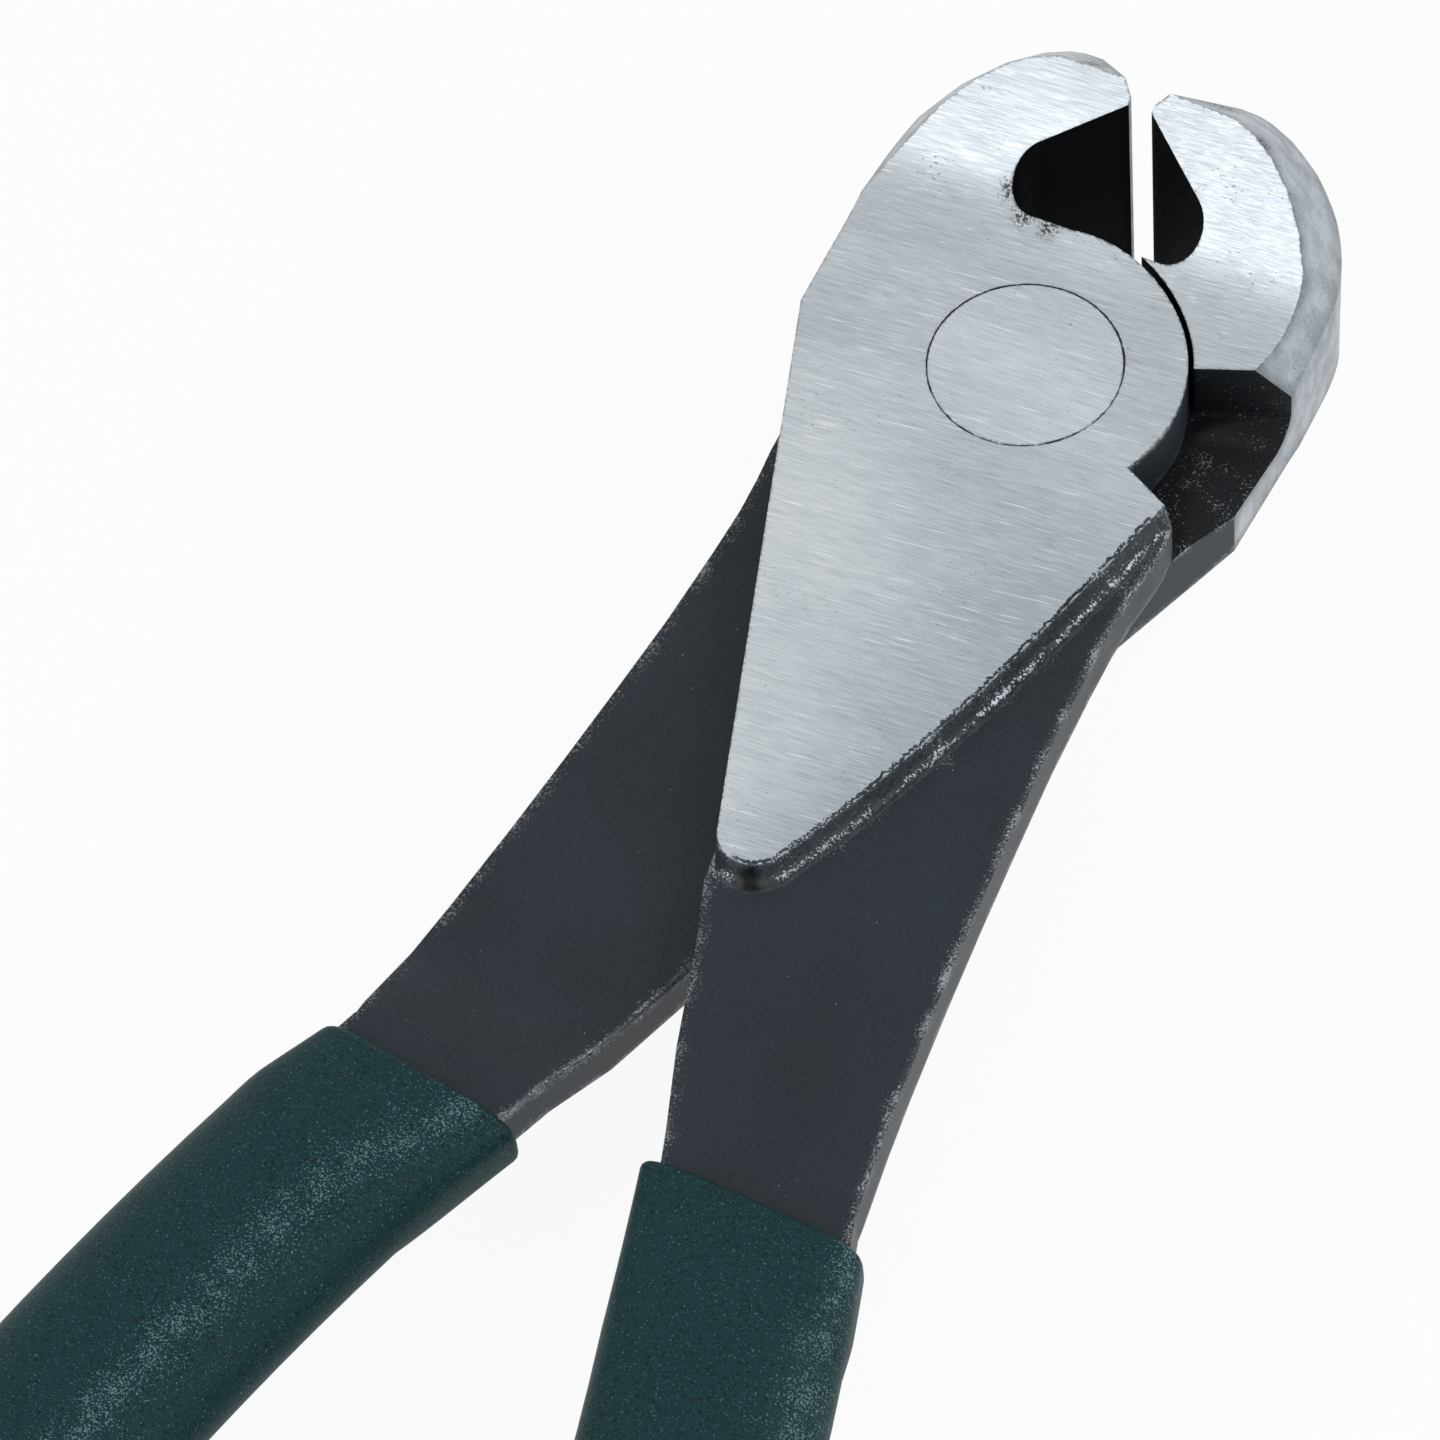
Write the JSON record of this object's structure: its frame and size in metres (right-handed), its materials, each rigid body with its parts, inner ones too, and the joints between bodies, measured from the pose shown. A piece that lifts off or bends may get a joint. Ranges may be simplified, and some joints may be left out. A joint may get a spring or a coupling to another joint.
{
  "type": "end cutting nippers",
  "caption": "Hand tool with two lapped, riveted halves: facing cutting edges across the nose, flared jaws, raised ground cheeks, flat reins and dipped grips.",
  "frame": {"origin": "on the rivet's axis, level with the lower cheek's ground face", "axes": "+Y from the rivet to the cutting edges, +Z along the rivet's axis out of the upper cheek, +X to the right jaw"},
  "size_m": [0.077, 0.2019, 0.031],
  "materials": {
    "forged_steel": "ground cheeks and jaws over black forged reins",
    "rivet_steel": "ground level with the cheeks",
    "dipped_grip": "foamed vinyl dip with a fine speckle"
  },
  "bodies": {
    "lower": {"lower_half": "forged_steel", "left_grip": "dipped_grip"},
    "upper": {"upper_half": "forged_steel", "rivet": "rivet_steel", "right_grip": "dipped_grip"}
  },
  "joints": [
    {"name": "pivot", "type": "hinge", "parent": "lower", "child": "upper", "pos_m": [0, 0, 0.0062], "axis": [0, 0, 1], "range_deg": [-5.2, 36]}
  ]
}
